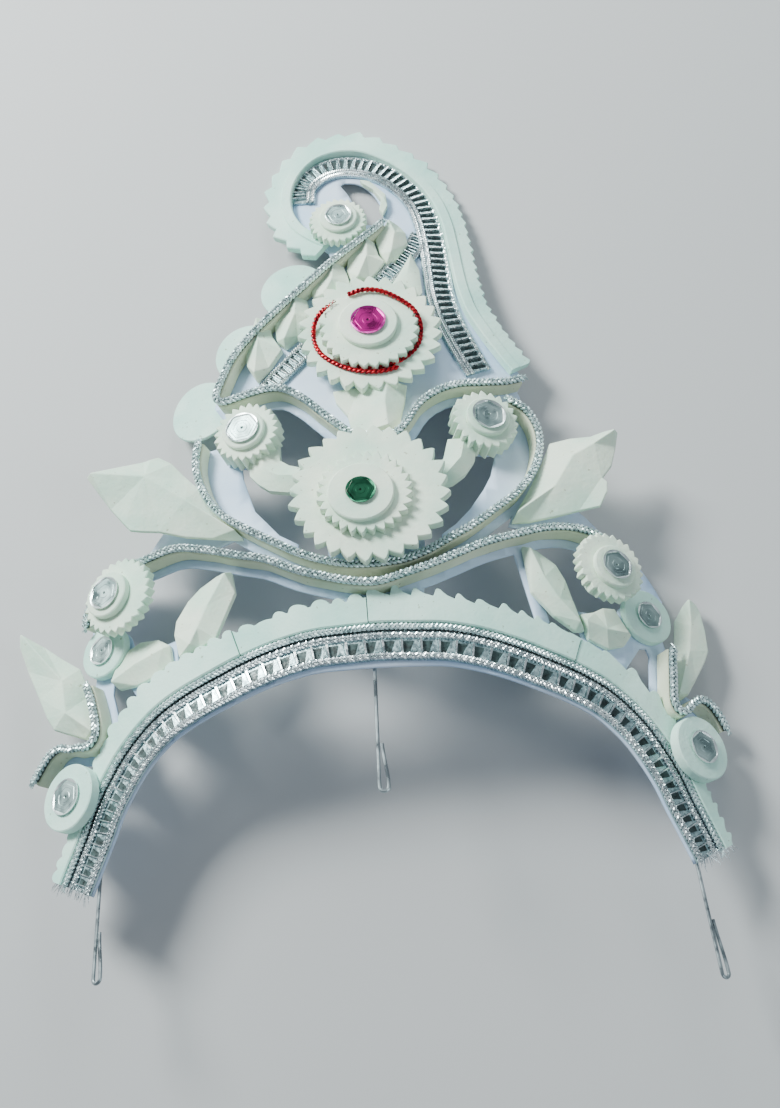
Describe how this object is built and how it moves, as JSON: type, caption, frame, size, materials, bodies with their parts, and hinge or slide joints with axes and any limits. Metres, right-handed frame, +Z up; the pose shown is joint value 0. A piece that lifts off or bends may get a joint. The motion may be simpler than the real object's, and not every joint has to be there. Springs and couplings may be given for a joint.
{
  "type": "pith wedding crown",
  "caption": "Tall headdress of carved white pith on bent card: an arched brow band, scrolls, a bowl and a curled spire, with silver cord, rosettes and sequins.",
  "frame": {"origin": "centre of the lying crown's footprint, on the surface that it lies on", "axes": "+Y from the band towards the spire's tip, +Z up out of the decorated face, +X to the right as the face is seen"},
  "size_m": [0.2196, 0.305, 0.0456],
  "materials": {
    "backing_card": "matte paper-faced card",
    "band_cord": "twisted silver metallic cord",
    "band_strip": "matte carved pith",
    "band_trim": "pleated silver lurex ribbon",
    "bowl_cord": "twisted silver metallic cord",
    "bowl_rib": "matte carved pith",
    "centre_stem": "matte carved pith",
    "crest_trim": "pleated silver lurex ribbon",
    "curl_cord_left": "twisted silver metallic cord",
    "curl_cord_right": "twisted silver metallic cord",
    "curl_rib_left": "matte carved pith",
    "curl_rib_right": "matte carved pith",
    "diamond_1": "matte carved pith",
    "diamond_2": "matte carved pith",
    "diamond_3": "matte carved pith",
    "diamond_4": "matte carved pith",
    "diamond_5": "matte carved pith",
    "disc_bottom_left": "matte carved pith",
    "disc_bottom_right": "matte carved pith",
    "disc_small_left": "matte carved pith",
    "disc_small_right": "matte carved pith",
    "inner_trim": "pleated silver lurex ribbon",
    "leaf_half_moon": "matte carved pith",
    "leaf_inner_left": "matte carved pith",
    "leaf_inner_right": "matte carved pith",
    "leaf_lower_right": "matte carved pith",
    "leaf_outer_left": "matte carved pith",
    "leaf_outer_right": "matte carved pith",
    "leaf_point_left": "matte carved pith",
    "leaf_point_right": "matte carved pith",
    "pin_centre": "bent wire",
    "pin_left": "bent wire",
    "pin_right": "bent wire",
    "red_cord": "twisted metallic cord",
    "rosette_centre": "matte carved pith",
    "rosette_outer_left": "matte carved pith",
    "rosette_outer_right": "matte carved pith",
    "rosette_pink": "matte carved pith",
    "rosette_silver_left": "matte carved pith",
    "rosette_silver_right": "matte carved pith",
    "rosette_top": "matte carved pith",
    "scallop_1": "matte carved pith",
    "scallop_2": "matte carved pith",
    "scallop_3": "matte carved pith",
    "scroll_cord": "twisted silver metallic cord",
    "scroll_rib": "matte carved pith",
    "sequin_bottom_left": "metallised cup sequin",
    "sequin_bottom_right": "metallised cup sequin",
    "sequin_green": "metallised cup sequin",
    "sequin_outer_left": "metallised cup sequin",
    "sequin_outer_right": "metallised cup sequin",
    "sequin_pink": "metallised cup sequin",
    "sequin_silver_left": "metallised cup sequin",
    "sequin_silver_right": "metallised cup sequin",
    "sequin_small_left": "metallised cup sequin",
    "sequin_small_right": "metallised cup sequin",
    "sequin_top": "metallised cup sequin",
    "spire_cord": "twisted silver metallic cord",
    "spire_crest": "matte carved pith",
    "spire_rib": "matte carved pith"
  },
  "bodies": {
    "root": {"backing_card": "backing_card", "band_cord": "band_cord", "band_strip": "band_strip", "band_trim": "band_trim", "bowl_cord": "bowl_cord", "bowl_rib": "bowl_rib", "centre_stem": "centre_stem", "crest_trim": "crest_trim", "curl_cord_left": "curl_cord_left", "curl_cord_right": "curl_cord_right", "curl_rib_left": "curl_rib_left", "curl_rib_right": "curl_rib_right", "diamond_1": "diamond_1", "diamond_2": "diamond_2", "diamond_3": "diamond_3", "diamond_4": "diamond_4", "diamond_5": "diamond_5", "disc_bottom_left": "disc_bottom_left", "disc_bottom_right": "disc_bottom_right", "disc_small_left": "disc_small_left", "disc_small_right": "disc_small_right", "inner_trim": "inner_trim", "leaf_half_moon": "leaf_half_moon", "leaf_inner_left": "leaf_inner_left", "leaf_inner_right": "leaf_inner_right", "leaf_lower_right": "leaf_lower_right", "leaf_outer_left": "leaf_outer_left", "leaf_outer_right": "leaf_outer_right", "leaf_point_left": "leaf_point_left", "leaf_point_right": "leaf_point_right", "pin_centre": "pin_centre", "pin_left": "pin_left", "pin_right": "pin_right", "red_cord": "red_cord", "rosette_centre": "rosette_centre", "rosette_outer_left": "rosette_outer_left", "rosette_outer_right": "rosette_outer_right", "rosette_pink": "rosette_pink", "rosette_silver_left": "rosette_silver_left", "rosette_silver_right": "rosette_silver_right", "rosette_top": "rosette_top", "scallop_1": "scallop_1", "scallop_2": "scallop_2", "scallop_3": "scallop_3", "scroll_cord": "scroll_cord", "scroll_rib": "scroll_rib", "sequin_bottom_left": "sequin_bottom_left", "sequin_bottom_right": "sequin_bottom_right", "sequin_green": "sequin_green", "sequin_outer_left": "sequin_outer_left", "sequin_outer_right": "sequin_outer_right", "sequin_pink": "sequin_pink", "sequin_silver_left": "sequin_silver_left", "sequin_silver_right": "sequin_silver_right", "sequin_small_left": "sequin_small_left", "sequin_small_right": "sequin_small_right", "sequin_top": "sequin_top", "spire_cord": "spire_cord", "spire_crest": "spire_crest", "spire_rib": "spire_rib"}
  },
  "joints": []
}
